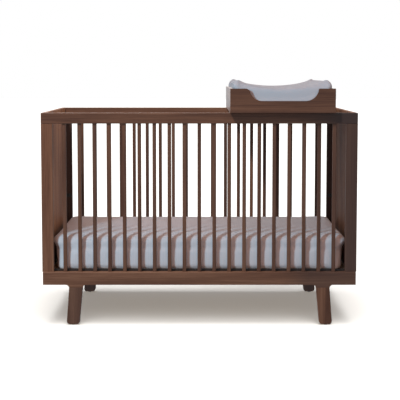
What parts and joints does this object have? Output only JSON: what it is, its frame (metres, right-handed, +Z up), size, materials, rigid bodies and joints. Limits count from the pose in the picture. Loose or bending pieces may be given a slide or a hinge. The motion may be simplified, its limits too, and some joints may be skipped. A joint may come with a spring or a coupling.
{
  "type": "baby crib",
  "caption": "Slatted wooden crib with solid end panels, splayed legs, height-adjustable mattress support, mattress, and a lift-off changing tray with contour pad.",
  "frame": {"origin": "on the floor, under the middle of the crib", "axes": "+X along the crib towards the changing tray's end, +Y from the front frame to the rear frame, +Z up"},
  "size_m": [1.366, 0.787, 1.0657],
  "materials": {
    "walnut": "satin lacquered walnut with fine straight grain",
    "plywood": "sanded birch plywood, clear sealed",
    "dowel_wood": "plain beech",
    "zinc": "zinc plated",
    "brass_insert": "plain brass",
    "glide": "matte dark brown plastic",
    "coated_steel": "dark grey powder coat",
    "mattress_ticking": "quilted off-white ticking",
    "sheet_cotton": "pale blue-grey woven cotton with a fine stripe",
    "pad_cotton": "pale blue-grey brushed cotton"
  },
  "bodies": {
    "crib_frame": {"corner_bracket_screws": "zinc", "corner_brackets": "zinc", "frame_dowels": "dowel_wood", "front_bottom_rail": "walnut", "front_left_leg": "walnut", "front_left_post": "walnut", "front_right_leg": "walnut", "front_right_post": "walnut", "front_slat_01": "walnut", "front_slat_02": "walnut", "front_slat_03": "walnut", "front_slat_04": "walnut", "front_slat_05": "walnut", "front_slat_06": "walnut", "front_slat_07": "walnut", "front_slat_08": "walnut", "front_slat_09": "walnut", "front_slat_10": "walnut", "front_slat_11": "walnut", "front_slat_12": "walnut", "front_slat_13": "walnut", "front_slat_14": "walnut", "front_slat_15": "walnut", "front_slat_16": "walnut", "front_slat_17": "walnut", "front_slat_18": "walnut", "front_slat_19": "walnut", "front_top_rail": "walnut", "height_inserts": "brass_insert", "hook_bolts": "zinc", "left_end_panel": "walnut", "leg_bolts": "zinc", "leg_glides": "glide", "panel_dowels": "dowel_wood", "rear_bottom_rail": "walnut", "rear_left_leg": "walnut", "rear_left_post": "walnut", "rear_right_leg": "walnut", "rear_right_post": "walnut", "rear_slats": "walnut", "rear_top_rail": "walnut", "right_end_panel": "walnut"},
    "mattress_support": {"support_front_rail": "coated_steel", "support_left_rail": "coated_steel", "support_rear_rail": "coated_steel", "support_right_rail": "coated_steel", "support_slat_screws": "zinc", "support_slats": "plywood"},
    "mattress_unit": {"mattress": "mattress_ticking", "fitted_sheet": "sheet_cotton"},
    "changing_tray": {"tray_bottom": "plywood", "tray_cleat_screws": "zinc", "tray_dowels": "dowel_wood", "tray_front_board": "walnut", "tray_front_cleat": "plywood", "tray_left_board": "walnut", "tray_rear_board": "walnut", "tray_rear_cleat": "plywood", "tray_right_board": "walnut"},
    "pad": {"changing_pad": "pad_cotton"}
  },
  "joints": [
    {"name": "support_height", "type": "slide", "parent": "crib_frame", "child": "mattress_support", "axis": [0, 0, 1], "range_m": [0, 0.24]},
    {"name": "mattress_lift", "type": "slide", "parent": "mattress_support", "child": "mattress_unit", "axis": [0, 0, 1], "range_m": [0, 0.25]},
    {"name": "tray_lift", "type": "slide", "parent": "crib_frame", "child": "changing_tray", "axis": [0, 0, 1], "range_m": [0, 0.3]},
    {"name": "pad_lift", "type": "slide", "parent": "changing_tray", "child": "pad", "axis": [0, 0, 1], "range_m": [0, 0.25]}
  ]
}
